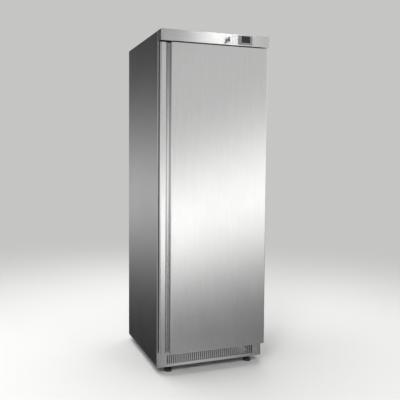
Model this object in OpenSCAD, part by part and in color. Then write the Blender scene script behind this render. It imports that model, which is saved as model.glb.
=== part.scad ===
// Commercial upright refrigerator with one solid door.
// A control fascia sits above the door and a slotted kick plate below it.
// The door is hinged on the right and opened by a finger groove rolled into its left edge.
// X runs across the width, Y from the door face to the back, Z upwards, in millimetres.
// Below, y = 0 is the door face and z = 0 the underside of the base; in_place() moves that
// to the model's origin, on the floor under the middle of the object.

/* [Cabinet] */
// Width over the side panels
body_w = 600; // [580:5:720]
// Depth from the door face to the back panel
body_d = 590; // [580:5:720]
// Height from the base rails to the top panel
body_h = 1708; // [1600:4:1900]
// Wall from the steel skin to the cold space
wall_t = 50; // [42:1:60]
// Thickness of the steel sheet
skin_t = 1; // [0.6:0.1:1.4]
// Thickness of the moulded plastic liner
liner_t = 2.5; // [1.5:0.5:4]
// Outer radius of the folds at the front corners
fold_r = 5; // [3:0.5:7]
// Width of the side panels' front flange
front_flange_w = 6.5; // [6:0.5:12]
// Width of the side panels' rear flange
rear_flange_w = 14; // [8:1:24]

/* [Base and feet] */
// Height of the feet under the base
foot_h = 32; // [24:1:60]
// Radius of a foot's pad
foot_pad_r = 20; // [14:1:26]
// Radius of a foot's threaded stud
foot_stud_r = 5; // [4:0.5:8]
// Distance of the feet from the cabinet's sides
foot_side = 70; // [55:5:120]
// Distance of the feet from the cabinet's front and back
foot_inset = 30; // [26:1:60]
// Height of the base's side rails
rail_h = 25; // [20:1:32]
// Depth of the rail's lip that shows below the side panels
rail_lip_h = 8; // [4:1:14]

/* [Machine bay] */
// Height of the air duct under the insulated floor
duct_h = 68; // [60:1:74]
// Depth of the machine bay, from the back panel
bay_d = 250; // [240:5:280]
// Height of the machine bay
bay_h = 330; // [290:5:380]

/* [Kick grille] */
// Height of the kick plate
kick_h = 80; // [74:1:100]
// Number of slots
slot_count = 43; // [21:2:47]
// Distance of the outermost slots from the cabinet's sides
slot_margin = 56.4; // [44:0.2:80]
// Width of a slot
slot_w = 6; // [3:0.5:7]
// Bottom of the slots above the base
slot_low = 14; // [10:1:24]
// Top of the slots above the base
slot_high = 61; // [40:1:66]

/* [Door] */
// Depth of the door's steel pan
pan_d = 35; // [32:1:60]
// Gap between the pan and the cabinet, filled by the seal
seal_d = 17; // [14:1:22]
// Distance of the door's left edge from the cabinet's side
door_left_gap = 1; // [0.5:0.5:4]
// Distance of the door's right edge from the cabinet's side
door_right_gap = 11; // [11:0.5:16]
// Gap between the kick plate and the door
door_low_gap = 4.5; // [4.5:0.5:8]
// Gap between the door and the fascia
door_top_gap = 6; // [6:0.5:9]
// Width of the handle stile to the left of the finger groove
stile_w = 32; // [24:1:36]
// Setback of the stile's front from the door face
stile_back = 15; // [8:0.5:18]
// Width of the finger groove
groove_w = 20; // [18:1:30]
// Radius of the rolled edges beside the groove
roll_r = 3; // [2:0.5:4]
// Radius of the stile's outer edge
stile_r = 6; // [4:0.5:8]
// Height of the door's end caps
cap_h = 18; // [17:1:30]
// Width of the pan's return behind the door
pan_return_w = 15; // [10:1:22]
// Depth of the door liner's raised panel
plateau_d = 34.5; // [20:0.5:45]
// Slope of the raised panel's sides
plateau_draft = 12; // [4:1:20]

/* [Hinges] */
// Radius of the hinge pins
pin_r = 5; // [4:0.5:6]
// Distance of the pin from the door's right edge
pin_inset = 12; // [11:0.5:16]
// Distance of the pin behind the door face
pin_y = 20; // [14:0.5:22]
// Thickness of the hinge brackets
bracket_t = 3; // [2:0.5:3.5]
// Width of the hinge brackets
bracket_w = 30; // [22:1:34]

/* [Fascia and controls] */
// Height of the fascia
fascia_h = 56; // [54:1:80]
// Centre of the lock from the middle of the width
lock_x = 57; // [-100:1:60]
// Drop of the lock's centre below the top
lock_drop = 33; // [26:1:34]
// Radius of the turning lock barrel
barrel_r = 7.5; // [6:0.5:8]
// Length of the lock's cam from the barrel's centre
cam_len = 40; // [38:1:44]
// Radius of the key's bow
key_bow_r = 13; // [10:0.5:15]
// Reach of the key in front of the door face
key_out = 34; // [30:1:40]
// Centre of the controller from the middle of the width
controller_x = 158; // [140:1:200]
// Width of the controller's bezel
controller_w = 80; // [76:1:90]
// Height of the controller's bezel
controller_h = 46; // [44:1:50]
// Width of the display window
display_w = 50; // [40:1:54]
// Height of the display window
display_h = 34; // [24:1:36]
// Travel of a button
button_travel = 1; // [0.5:0.1:1.5]

/* [Shelves] */
// Number of shelves
shelf_count = 4; // [4:1:4]
// Height of the lowest shelf's ledge
shelf_low = 425; // [420:5:460]
// Distance from shelf to shelf
shelf_pitch = 285; // [240:5:295]
// Width of the moulded ledges
ledge_w = 12; // [9:0.5:16]
// Free travel of a shelf before it meets the closed door
shelf_travel = 30; // [10:1:60]
// Radius of a shelf's frame rod
rod_r = 3.5; // [2.5:0.5:5]
// Radius of a shelf's grid wires
wire_r = 1.75; // [1.25:0.25:2.25]
// Number of grid wires in a shelf
wire_count = 21; // [11:2:25]

/* [Cooling] */
// Radius of the evaporator fan
cold_fan_r = 62; // [50:1:66]
// Width of the evaporator cover
cold_cover_w = 440; // [430:5:460]
// Radius of the condenser fan
warm_fan_r = 88; // [70:1:90]
// Radius of the compressor's shell
compressor_r = 72; // [60:1:74]
// Height of the compressor's shell
compressor_h = 162; // [140:1:170]

/* [Hidden] */
$fn = 48;

// Clearances
run_gap = 0.05;   // between a pin and its bore, on the radius
seat_gap = 0.3;   // between a piece and what it rests on or moves past
fit_gap = 0.3;    // round a piece that passes through a cut-out
cut = 1;          // how far a cutter runs past the face that it opens

// Levels and planes
half_w = body_w / 2;
inner_x = half_w - skin_t;
cab_y = pan_d + seal_d;
frame_back_y = cab_y + skin_t;
back_y = body_d - skin_t;
top_z = body_h - skin_t;
fascia_z = body_h - fascia_h;
door_z0 = kick_h + door_low_gap;
door_z1 = fascia_z - door_top_gap;
face_y = (key_out - body_d) / 2;

// Cold space
throat_side = 32;
throat_x = half_w - wall_t;
throat_z0 = door_z0 + throat_side;
throat_z1 = door_z1 - throat_side + 2;
liner_back_y = body_d - wall_t;
bay_y = body_d - bay_d;
step_y = bay_y - wall_t;
step_z = bay_h + wall_t;
upright_y = cab_y + fold_r;
upright_t = 2;
duct_front_y = upright_y + upright_t + skin_t;

// Door outline
door_x0 = -half_w + door_left_gap;
door_x1 = half_w - door_right_gap;
door_h = door_z1 - door_z0;
groove_x0 = door_x0 + stile_w;
groove_x1 = groove_x0 + groove_w;
groove_r = groove_w / 2;
groove_mid_y = stile_back + roll_r;
edge_r = 4;
edge_strip_y = stile_back + stile_r + 2;
door_liner_margin = 8;
door_liner_y = pan_d + liner_t;
plateau_gap = 18;
plateau_x = throat_x - plateau_gap;
plateau_z0 = throat_z0 + plateau_gap;
plateau_z1 = throat_z1 - plateau_gap;
plateau_y = door_liner_y + plateau_d;

// Seal round the door, on the middle of the cabinet's front flange
seal_w = 16;
seal_out = 19;
seal_x = throat_x + seal_out;
seal_z0 = throat_z0 - seal_out;
seal_z1 = throat_z1 + seal_out;
seal_base_d = 3.5;
seal_head_d = 5;

// Hinges
pin_x = door_x1 - pin_inset;
bush_r = pin_r + 3;
bush_flange_t = door_low_gap - bracket_t - 2 * seat_gap;
bracket_x0 = pin_x - bracket_w / 2;
bracket_x1 = pin_x + bracket_w / 2;
bracket_nose_y = pin_y - 12;
low_bracket_z = kick_h + seat_gap;
top_bracket_z = door_z1 + bush_flange_t + seat_gap;
pin_head_t = 1;

// Base
upright_x = half_w - 50;
rail_t = 2;
rail_w = 38;
platform_t = 2;
platform_z = rail_h + platform_t;
rear_cover_y = body_d - 8;
boss_r = foot_stud_r + 6;
boss_h = 14;
foot_x = half_w - foot_side;
foot_front_y = cab_y + foot_inset;
foot_rear_y = body_d - foot_inset - 5;
kick_screw_x = half_w - 31;
kick_screw_z = 38;
screw_r = 2;
slot_pitch = 2 * (half_w - slot_margin) / (slot_count - 1);

// Lock
lock_z = body_h - lock_drop;
lock_body_r = barrel_r + 2;
lock_flange_r = lock_body_r + 3;
lock_flange_t = 2;
lock_body_d = 26;
barrel_proud = 1;
cam_y = lock_body_d + 0.5;
cam_t = 2.5;
cam_w = 12;
cam_gap = 1.5;
cam_reach = norm([cam_len, cam_w / 2]) + cam_gap;
key_t = 2;
key_blade_w = 7;
key_hole_r = 3;

// Controller
controller_z = fascia_z + fascia_h / 2 + 1;
bezel_t = 2.5;
bezel_corner_r = 4;
display_x = controller_x + 1.5;
display_z = controller_z + 3;
housing_rim = 3;
housing_d = 42;
button_w = 8;
button_h = 11;
button_proud = 1.5;
button_side_x = (controller_w + display_w) / 4;
button_rise = 11;
button_depth = bezel_t + button_proud + 2;
BUTTONS = [[-1, 1], [-1, -1], [1, 1], [1, -1]];

// Shelves
shelf_side_gap = 3;
shelf_half_w = throat_x - shelf_side_gap;
shelf_y0 = plateau_y + shelf_travel + 3;
shelf_y1 = liner_back_y - 8;
shelf_corner_r = 14;
weld_sink = 1;
cross_rod_r = 2.5;
ledge_h = 16;

// Evaporator
cold_cover_d = 78;
cold_cover_t = 2;
cold_cover_h = 208;
cold_z1 = throat_z1 - 8;
cold_z0 = cold_z1 - cold_cover_h;
cold_mid_z = (cold_z0 + cold_z1) / 2;
cold_y = liner_back_y - cold_cover_d;
cold_fan_y = cold_y + 6;
cold_fan_d = 16;
cold_hub_r = 18;
cold_motor_r = 24;
cold_motor_d = 28;
intake_w = 6;
intake_pitch = 20;
coil_x0 = 80;
coil_x1 = 180;
coil_fin_pitch = 10;
coil_tube_r = 5;
coil_rows = 5;
coil_row_pitch = 35;
coil_tube_y = liner_back_y - 14;
coil_front_y = cold_y + 20;
guard_wire_r = 1.5;
guard_ring_pitch = 16;
lamp_w = 148;
lamp_d = 40;
lamp_h = 10;
lens_margin = 4;
lens_t = 5;
lamp_y = plateau_y + 6;

// Fan motors
fan_shaft_r = 3;
motor_gap = 2;
motor_strap_t = 2;

// Condenser
condenser_x = -135;
condenser_w = 200;
condenser_d = 45;
condenser_y = bay_y + 10;
condenser_z = platform_z + 8;
condenser_h = 200;
condenser_rows = 5;
condenser_row_pitch = 36;
fin_pitch = 10;
fin_t = 1;
end_plate_t = 1.5;
shroud_margin = 5;
shroud_d = 30;
shroud_y = condenser_y + condenser_d;
warm_z = condenser_z + condenser_h / 2;
warm_fan_y = shroud_y + shroud_d + 3;
warm_fan_d = 24;
warm_hub_r = 24;
warm_motor_r = 36;
warm_motor_d = 51;

// Compressor and what it carries
compressor_from_side = 150;
compressor_from_back = 125;
compressor_x = half_w - compressor_from_side;
compressor_y = body_d - compressor_from_back;
compressor_plate_x = compressor_r + 6;
compressor_plate_y = 62;
compressor_plate_t = 3;
compressor_bolt_inset = 14;
compressor_bolt_r = 4;
grommet_h = 14;
grommet_r = 11;
compressor_z = platform_z + grommet_h;
compressor_top_z = compressor_z + compressor_plate_t + compressor_h;
terminal_w = 48;
terminal_d = 26;
terminal_h = 38;
terminal_z = compressor_z + 33;
tray_w = 160;
tray_d = 156;
tray_h = 32;
tray_t = 2;
electrical_w = 44;
electrical_d = 100;
electrical_h = 130;

// Refrigerant pipes
pipe_stub_x = compressor_x - compressor_r + 2;
pipe_stub_y = 35;
pipe_rise = 109;
pipe_z = compressor_z + pipe_rise;
pipe_r = 3;
pipe_bend_r = 20;

// Supply lead's gland in the rear cover
gland_x = half_w - 40;
gland_z = platform_z + 30;
gland_r = 9;
gland_flange_r = 13;
gland_bore_r = 4.5;
gland_behind = 10;
gland_proud = 6;

steel_colour = [0.76, 0.77, 0.77];
zinc_colour = [0.62, 0.64, 0.66];
liner_colour = [0.93, 0.94, 0.94];
foam_colour = [0.93, 0.86, 0.62];
black_colour = [0.1, 0.1, 0.11];
grey_colour = [0.45, 0.46, 0.47];
copper_colour = [0.72, 0.45, 0.3];

// Points along an arc from angle a0 to angle a1
function arc(cx, cy, r, a0, a1, n = 8) =
    [for (i = [0 : n]) [cx + r * cos(a0 + (a1 - a0) * i / n), cy + r * sin(a0 + (a1 - a0) * i / n)]];

// Outline of a slot with round ends, upright, from low to high
function slot_points(x, low, high, w) =
    concat(arc(x, high - w / 2, w / 2, 0, 180, 6), arc(x, low + w / 2, w / 2, 180, 360, 6));

// Outline of a rectangle with round corners, about its centre
function round_points(w, h, r) = concat(
    arc(w / 2 - r, h / 2 - r, r, 0, 90, 4), arc(r - w / 2, h / 2 - r, r, 90, 180, 4),
    arc(r - w / 2, r - h / 2, r, 180, 270, 4), arc(w / 2 - r, r - h / 2, r, 270, 360, 4)
);

function shelf_z(i) = shelf_low + (i - 1) * shelf_pitch;

// How far right of the lock's centre the turning cam passes through level z
function cam_sweep(z) = sqrt(pow(cam_reach, 2) - pow(lock_z - z, 2));

module in_place() {
    translate([0, face_y, foot_h]) children();
}

// Box between two corners
module block(low, high) {
    translate(low) cube(high - low);
}

// Flat shape in (y, z), extruded along X and centred
module along_x(length) {
    rotate([90, 0, 90]) linear_extrude(length, center = true) children();
}

// Flat shape in (x, z), extruded along Y
module along_y(y0, y1) {
    translate([0, y1, 0]) rotate([90, 0, 0]) linear_extrude(y1 - y0) children();
}

// Flat shape in (x, y), extruded along Z
module along_z(z0, z1) {
    translate([0, 0, z0]) linear_extrude(z1 - z0) children();
}

module rod_x(x0, x1, y, z, r, sides = 48) {
    translate([x0, y, z]) rotate([0, 90, 0]) cylinder(h = x1 - x0, r = r, $fn = sides);
}

module rod_y(y0, y1, x, z, r, sides = 48) {
    translate([x, y0, z]) rotate([-90, 0, 0]) cylinder(h = y1 - y0, r = r, $fn = sides);
}

module rod_z(z0, z1, x, y, r, sides = 48) {
    translate([x, y, z0]) cylinder(h = z1 - z0, r = r, $fn = sides);
}

// Both sides of the cabinet
module both_sides() {
    children();
    mirror([1, 0, 0]) children();
}

// Right side panel: one sheet with a rolled front flange and a folded rear flange
module side_panel_outline() {
    r = fold_r;
    t = skin_t;
    outer = arc(half_w - r, cab_y + r, r, 270, 360);
    inner = arc(half_w - r, cab_y + r, r - t, 360, 270);
    polygon(concat(
        [[half_w - front_flange_w, cab_y]], outer,
        [[half_w, body_d], [half_w - rear_flange_w, body_d], [half_w - rear_flange_w, back_y],
         [inner_x, back_y]],
        inner, [[half_w - front_flange_w, frame_back_y]]
    ));
}

module side_panel() {
    kick_notch_y = cab_y + fold_r;
    difference() {
        along_z(rail_lip_h, top_z) side_panel_outline();
        block([half_w - front_flange_w - cut, cab_y - cut, 0],
              [half_w + cut, kick_notch_y, kick_h]);
    }
}

module left_side_panel() {
    color(steel_colour) in_place() mirror([1, 0, 0]) side_panel();
}

module right_side_panel() {
    color(steel_colour) in_place() side_panel();
}

module top_panel() {
    color(steel_colour) in_place() block([-half_w, cab_y, top_z], [half_w, body_d, body_h]);
}

module back_panel() {
    color(zinc_colour) in_place() block(
        [-half_w + rear_flange_w, back_y, bay_h], [half_w - rear_flange_w, body_d, top_z]
    );
}

// Steel frame round the door opening, which the seal closes on
module front_frame() {
    edge_x = half_w - front_flange_w;
    color(black_colour) in_place() along_y(cab_y, frame_back_y) difference() {
        translate([-edge_x, door_z0]) square([2 * edge_x, top_z - door_z0]);
        translate([-throat_x, throat_z0]) square([2 * throat_x, throat_z1 - throat_z0]);
    }
}

// Corners left free for the inside of the side panels' front folds
module fold_relief() {
    relief = fold_r - skin_t;
    both_sides() block([inner_x - relief, frame_back_y - cut, 0],
                       [inner_x + cut, frame_back_y + relief, body_h]);
}

// Sheet that closes the insulation over the air duct and round the machine bay
module bay_lining() {
    t = skin_t;
    color(zinc_colour) in_place() difference() {
        along_x(2 * inner_x) polygon([
            [frame_back_y, door_z0 - t], [duct_front_y - t, door_z0 - t], [duct_front_y - t, duct_h],
            [bay_y, duct_h], [bay_y, bay_h], [back_y, bay_h], [back_y, bay_h + t],
            [bay_y - t, bay_h + t], [bay_y - t, duct_h + t], [duct_front_y, duct_h + t],
            [duct_front_y, door_z0], [frame_back_y, door_z0]
        ]);
        fold_relief();
    }
}

// Side view of the cold space, grown outwards by g
module cold_profile(g, front) {
    polygon([
        [front, throat_z0 - g], [step_y + g, throat_z0 - g], [step_y + g, step_z - g],
        [liner_back_y + g, step_z - g], [liner_back_y + g, throat_z1 + g], [front, throat_z1 + g]
    ]);
}

module cabinet_foam() {
    t = skin_t;
    color(foam_colour) in_place() difference() {
        along_x(2 * inner_x) polygon([
            [frame_back_y, door_z0], [duct_front_y, door_z0], [duct_front_y, duct_h + t],
            [bay_y - t, duct_h + t], [bay_y - t, bay_h + t], [back_y, bay_h + t],
            [back_y, top_z], [frame_back_y, top_z]
        ]);
        along_x(2 * (throat_x + liner_t)) cold_profile(liner_t, frame_back_y - cut);
        fold_relief();
    }
}

// Moulded ledge on the right wall of the liner, with its top at z
module ledge(z) {
    along_y(shelf_y0 - 14, liner_back_y) polygon([
        [throat_x, z], [throat_x - ledge_w, z], [throat_x - ledge_w, z - 4],
        [throat_x, z - ledge_h]
    ]);
}

module inner_liner() {
    color(liner_colour) in_place() union() {
        difference() {
            along_x(2 * (throat_x + liner_t)) cold_profile(liner_t, frame_back_y);
            along_x(2 * throat_x) cold_profile(0, frame_back_y - cut);
        }
        both_sides() for (i = [1 : 0.5 : shelf_count]) ledge(shelf_z(i));
    }
}

// Base: side rails, cross rails, corner uprights, machine platform and foot bosses
module rail_outline() {
    translate([half_w - rail_w, 0]) square([rail_w - skin_t, rail_t]);
    translate([inner_x - rail_t, 0]) square([rail_t, rail_h]);
    translate([inner_x - rail_t, 0]) square([rail_t + skin_t, rail_lip_h]);
    translate([half_w - rail_w, rail_h - rail_t]) square([rail_w - skin_t, rail_t]);
}

module foot_places() {
    for (x = [-foot_x, foot_x], y = [foot_front_y, foot_rear_y]) translate([x, y, 0]) children();
}

module base_frame() {
    cross_h = 12;
    cross_w = 30;
    plate_half = 24;
    cross_x = half_w - rail_w - seat_gap;
    color(zinc_colour) in_place() difference() {
        union() {
            both_sides() {
                along_y(upright_y + upright_t + seat_gap, back_y) rail_outline();
                block([upright_x, upright_y, 0], [inner_x, upright_y + upright_t, kick_h - 1]);
            }
            for (y = [cab_y + 14, bay_y - cross_w, rear_cover_y - cross_w - 2]) {
                block([-cross_x, y, 0], [cross_x, y + cross_w, rail_t]);
                block([-cross_x, y, 0], [cross_x, y + rail_t, cross_h]);
            }
            block([-inner_x, bay_y + 5, rail_h + seat_gap], [inner_x, back_y, platform_z]);
            foot_places() {
                block([-plate_half, -plate_half + 8, 0], [plate_half, plate_half - 8, rail_t + 1]);
                cylinder(h = rail_t + boss_h, r = boss_r);
            }
            both_sides() for (y = [foot_front_y, foot_rear_y])
                block([foot_x, y - plate_half + 8, 0], [cross_x, y + plate_half - 8, rail_t + 1]);
        }
        foot_places() translate([0, 0, -cut]) cylinder(h = rail_h, r = foot_stud_r + run_gap);
        for (x = [-kick_screw_x, kick_screw_x])
            rod_y(cab_y, upright_y + upright_t + cut, x, kick_screw_z, screw_r + fit_gap);
    }
}

// Levelling foot: round pad, hexagon for a spanner and threaded stud
module foot(x, y) {
    pad_h = 12;
    hex_h = 7;
    stud_top = rail_t + boss_h + 4;
    color(black_colour) in_place() translate([x, y, 0]) union() {
        translate([0, 0, -foot_h]) cylinder(h = pad_h, r = foot_pad_r);
        translate([0, 0, pad_h - foot_h]) cylinder(h = hex_h, r = foot_stud_r + 4, $fn = 6);
        translate([0, 0, pad_h - foot_h]) cylinder(h = foot_h - pad_h + stud_top, r = foot_stud_r);
    }
}

module foot_front_left() { foot(-foot_x, foot_front_y); }

module foot_front_right() { foot(foot_x, foot_front_y); }

module foot_rear_left() { foot(-foot_x, foot_rear_y); }

module foot_rear_right() { foot(foot_x, foot_rear_y); }

// Kick plate: a folded sheet with a row of upright slots
module kick_grille() {
    r = fold_r;
    slot_x0 = -(slot_count - 1) * slot_pitch / 2;
    plan = concat(
        arc(-half_w + r, cab_y + r, r, 180, 270), arc(half_w - r, cab_y + r, r, 270, 360),
        arc(half_w - r, cab_y + r, r - skin_t, 360, 270),
        arc(-half_w + r, cab_y + r, r - skin_t, 270, 180)
    );
    color(steel_colour) in_place() difference() {
        union() {
            along_z(0, kick_h) polygon(plan);
            block([1 - upright_x, cab_y, 0], [upright_x - 1, cab_y + 12, skin_t]);
            block([1 - upright_x, cab_y, kick_h - skin_t], [upright_x - 1, cab_y + 6, kick_h]);
        }
        along_y(cab_y - cut, frame_back_y + cut) for (i = [0 : slot_count - 1])
            polygon(slot_points(slot_x0 + i * slot_pitch, slot_low, slot_high, slot_w));
        for (x = [-kick_screw_x, kick_screw_x])
            rod_y(cab_y - cut, frame_back_y + cut, x, kick_screw_z, screw_r + fit_gap);
    }
}

module kick_screws() {
    head_r = 4.5;
    head_t = 1.8;
    color(zinc_colour) in_place() for (x = [-kick_screw_x, kick_screw_x]) {
        rod_y(cab_y - head_t, cab_y, x, kick_screw_z, head_r);
        rod_y(cab_y - head_t / 2, upright_y + upright_t, x, kick_screw_z, screw_r);
    }
}

// Outline of the door from above, drawn in by t, with the finger groove rolled in on the left
module door_outline(t) {
    r = roll_r;
    polygon(concat(
        [[door_x0 + t, pan_d - t]],
        arc(door_x0 + stile_r, stile_back + stile_r, stile_r - t, 180, 270),
        arc(groove_x0 - r, groove_mid_y, r - t, 270, 360, 5),
        arc(groove_x0 + groove_r, groove_mid_y, groove_r + t, 180, 0, 16),
        arc(groove_x1 + r, r, r - t, 180, 270, 5),
        arc(door_x1 - edge_r, edge_r, edge_r - t, 270, 360, 6),
        [[door_x1 - t, pan_d - t]]
    ));
}

// Window in the back of the pan, between its returns
module pan_window(front) {
    translate([door_x0 + pan_return_w, front])
        square([door_x1 - door_x0 - 2 * pan_return_w, pan_d - front]);
}

// Everything between the pan's walls
module door_fill() {
    door_outline(skin_t);
    pan_window(pan_d - 2 * skin_t);
}

module door_outer_panel() {
    color(steel_colour) in_place() along_z(door_z0, door_z1) difference() {
        door_outline(0);
        door_outline(skin_t);
        translate([0, cut]) pan_window(pan_d - skin_t - 2 * cut);
        translate([door_x0 - cut, edge_strip_y])
            square([cut + pan_return_w + seat_gap, pan_d - edge_strip_y + cut]);
    }
}

// Moulded strip that closes the door's left side behind the stile
module edge_strip() {
    t = skin_t - seat_gap;
    y0 = edge_strip_y + seat_gap;
    block([door_x0, y0, door_z0], [door_x0 + t, pan_d, door_z1]);
    block([door_x0, pan_d - t, door_z0], [door_x0 + pan_return_w - seat_gap, pan_d, door_z1]);
}

module door_cap(z0) {
    difference() {
        along_z(z0, z0 + cap_h) door_fill();
        rod_z(z0 - cut, z0 + cap_h + cut, pin_x, pin_y, bush_r);
    }
}

// The top cap has the slot that the lock's cam turns into
module door_top_cap() {
    color(black_colour) in_place() difference() {
        door_cap(door_z1 - cap_h);
        block([lock_x - cam_w / 2 - cam_gap, cam_y - cam_gap, lock_z - cam_reach],
              [lock_x + cam_sweep(door_z1), cam_y + cam_t + cam_gap, door_z1 + cut]);
    }
}

module door_bottom_cap() {
    color(black_colour) in_place() {
        door_cap(door_z0);
        edge_strip();
    }
}

// Raised panel on the inside of the door, drawn in by g
module door_plateau(g) {
    intersection() {
        along_z(plateau_z0 + g, plateau_z1 - g) polygon([
            [-plateau_x + g, pan_d - g], [plateau_x - g, pan_d - g],
            [plateau_x - plateau_draft - g, plateau_y - g],
            [-plateau_x + plateau_draft + g, plateau_y - g]
        ]);
        along_x(body_w) polygon([
            [pan_d - g, plateau_z0 + g], [plateau_y - g, plateau_z0 + plateau_draft + g],
            [plateau_y - g, plateau_z1 - plateau_draft - g], [pan_d - g, plateau_z1 - g]
        ]);
    }
}

module door_foam() {
    color(foam_colour) in_place() union() {
        along_z(door_z0 + cap_h, door_z1 - cap_h) door_fill();
        intersection() {
            door_plateau(liner_t);
            block([-half_w, pan_d - cut, 0], [half_w, plateau_y, body_h]);
        }
    }
}

module door_liner() {
    m = door_liner_margin;
    color(liner_colour) in_place() difference() {
        union() {
            block([door_x0 + m, pan_d, door_z0 + m], [door_x1 - m, door_liner_y, door_z1 - m]);
            intersection() {
                door_plateau(0);
                block([-half_w, pan_d, 0], [half_w, plateau_y + cut, body_h]);
            }
        }
        door_plateau(liner_t);
    }
}

// One step of the seal's section: a rectangular ring w wide, whose middle follows the seal
module seal_ring(y0, y1, w) {
    inset = (seal_w - w) / 2;
    along_y(y0, y1) difference() {
        translate([-seal_x + inset, seal_z0 + inset])
            square([2 * (seal_x - inset), seal_z1 - seal_z0 - 2 * inset]);
        translate([-seal_x + inset + w, seal_z0 + inset + w])
            square([2 * (seal_x - inset - w), seal_z1 - seal_z0 - 2 * (inset + w)]);
    }
}

// Magnetic seal: a foot on the liner, a bellows and the magnet's flat head
module door_gasket() {
    head_y = cab_y - seat_gap - seal_head_d;
    fold_y = door_liner_y + seal_base_d;
    fold_d = (head_y - fold_y) / 3;
    color(black_colour) in_place() union() {
        seal_ring(door_liner_y, fold_y, seal_w - 2);
        seal_ring(fold_y, fold_y + fold_d, seal_w - 8);
        seal_ring(fold_y + fold_d, fold_y + 2 * fold_d, seal_w - 4);
        seal_ring(fold_y + 2 * fold_d, head_y, seal_w - 8);
        seal_ring(head_y, head_y + seal_head_d, seal_w);
    }
}

// Plain bushes in the door's end caps, each with a thrust flange outside the door
module hinge_bushes() {
    color(black_colour) in_place() translate([pin_x, pin_y, 0]) difference() {
        union() {
            translate([0, 0, door_z0]) cylinder(h = cap_h, r = bush_r);
            translate([0, 0, door_z0 - bush_flange_t]) cylinder(h = bush_flange_t, r = bush_r + 1);
            translate([0, 0, door_z1 - cap_h]) cylinder(h = cap_h, r = bush_r);
            translate([0, 0, door_z1]) cylinder(h = bush_flange_t, r = bush_r + 1);
        }
        translate([0, 0, door_z0 - 5]) cylinder(h = door_h + 10, r = pin_r + run_gap);
    }
}

// Flat leaf of a hinge bracket, seen from above, with a round nose at the pin
module bracket_leaf(rear) {
    difference() {
        union() {
            translate([pin_x, pin_y]) circle(r = pin_y - bracket_nose_y);
            translate([pin_x - pin_y + bracket_nose_y, pin_y])
                square([2 * (pin_y - bracket_nose_y), rear - pin_y]);
            translate([bracket_x0, pin_y + 14]) square([bracket_w, rear - pin_y - 14]);
        }
        translate([pin_x, pin_y]) circle(r = pin_r);
    }
}

module top_hinge_bracket() {
    z = top_bracket_z;
    color(zinc_colour) in_place() union() {
        along_z(z, z + bracket_t) bracket_leaf(cab_y);
        block([bracket_x0, cab_y - bracket_t, z], [bracket_x1, cab_y, fascia_z + 36]);
    }
}

module bottom_hinge_bracket() {
    z = low_bracket_z;
    color(zinc_colour) in_place() union() {
        along_z(z, z + bracket_t) bracket_leaf(upright_y);
        block([bracket_x0, upright_y - bracket_t, 48], [bracket_x1, upright_y, z + bracket_t]);
    }
}

module hinge_pins() {
    color(zinc_colour) in_place() translate([pin_x, pin_y, 0]) {
        translate([0, 0, low_bracket_z - pin_head_t]) cylinder(h = pin_head_t, r = pin_r + 3);
        translate([0, 0, low_bracket_z - pin_head_t])
            cylinder(h = door_z0 + cap_h - 2 - low_bracket_z + pin_head_t, r = pin_r);
        translate([0, 0, door_z1 - cap_h + 2])
            cylinder(h = top_bracket_z + bracket_t + pin_head_t - door_z1 + cap_h - 2, r = pin_r);
        translate([0, 0, top_bracket_z + bracket_t]) cylinder(h = pin_head_t, r = pin_r + 3);
    }
}

// Outline of the fascia from above, drawn in by t, open at the back
module fascia_outline(t, back) {
    r = fold_r;
    polygon(concat(
        [[-half_w + t, back]], arc(-half_w + r, r, r - t, 180, 270),
        arc(half_w - r, r, r - t, 270, 360), [[half_w - t, back]]
    ));
}

module fascia() {
    t = skin_t;
    color(steel_colour) in_place() difference() {
        along_z(fascia_z, body_h) fascia_outline(0, cab_y);
        along_z(fascia_z + t, body_h - t) fascia_outline(t, cab_y + cut);
        rod_y(-cut, t + cut, lock_x, lock_z, lock_body_r + fit_gap);
        block([controller_x - controller_w / 2 + housing_rim - fit_gap, -cut,
               controller_z - controller_h / 2 + housing_rim - fit_gap],
              [controller_x + controller_w / 2 - housing_rim + fit_gap, t + cut,
               controller_z + controller_h / 2 - housing_rim + fit_gap]);
        block([lock_x - cam_w / 2 - cam_gap, cam_y - cam_gap, fascia_z - cut],
              [lock_x + cam_sweep(fascia_z + t), cam_y + cam_t + cam_gap, fascia_z + t + cut]);
        block([bracket_x0 - 2, cab_y - bracket_t - 2, fascia_z - cut],
              [bracket_x1 + 2, cab_y + cut, fascia_z + t + cut]);
    }
}

module controller_housing() {
    pocket_w = button_w + 2 * fit_gap;
    pocket_h = button_h + 2 * fit_gap;
    half_x = controller_w / 2 - housing_rim;
    half_z = controller_h / 2 - housing_rim;
    color(black_colour) in_place() difference() {
        block([controller_x - half_x, 0, controller_z - half_z],
              [controller_x + half_x, housing_d, controller_z + half_z]);
        for (b = BUTTONS) translate([controller_x + b[0] * button_side_x, 0,
                                     controller_z + b[1] * button_rise])
            block([-pocket_w / 2, -cut, -pocket_h / 2],
                  [pocket_w / 2, 2 + button_travel + seat_gap, pocket_h / 2]);
    }
}

module controller_bezel() {
    color(grey_colour) in_place() difference() {
        along_y(-bezel_t, 0) translate([controller_x, controller_z])
            polygon(round_points(controller_w, controller_h, bezel_corner_r));
        block([display_x - display_w / 2, -bezel_t - cut, display_z - display_h / 2],
              [display_x + display_w / 2, cut, display_z + display_h / 2]);
        for (b = BUTTONS) translate([controller_x + b[0] * button_side_x, 0,
                                     controller_z + b[1] * button_rise])
            block([-button_w / 2 - fit_gap, -bezel_t - cut, -button_h / 2 - fit_gap],
                  [button_w / 2 + fit_gap, cut, button_h / 2 + fit_gap]);
    }
}

module display_window() {
    color(black_colour) in_place()
        block([display_x - display_w / 2, -bezel_t + 0.8, display_z - display_h / 2],
              [display_x + display_w / 2, 0, display_z + display_h / 2]);
}

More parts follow.
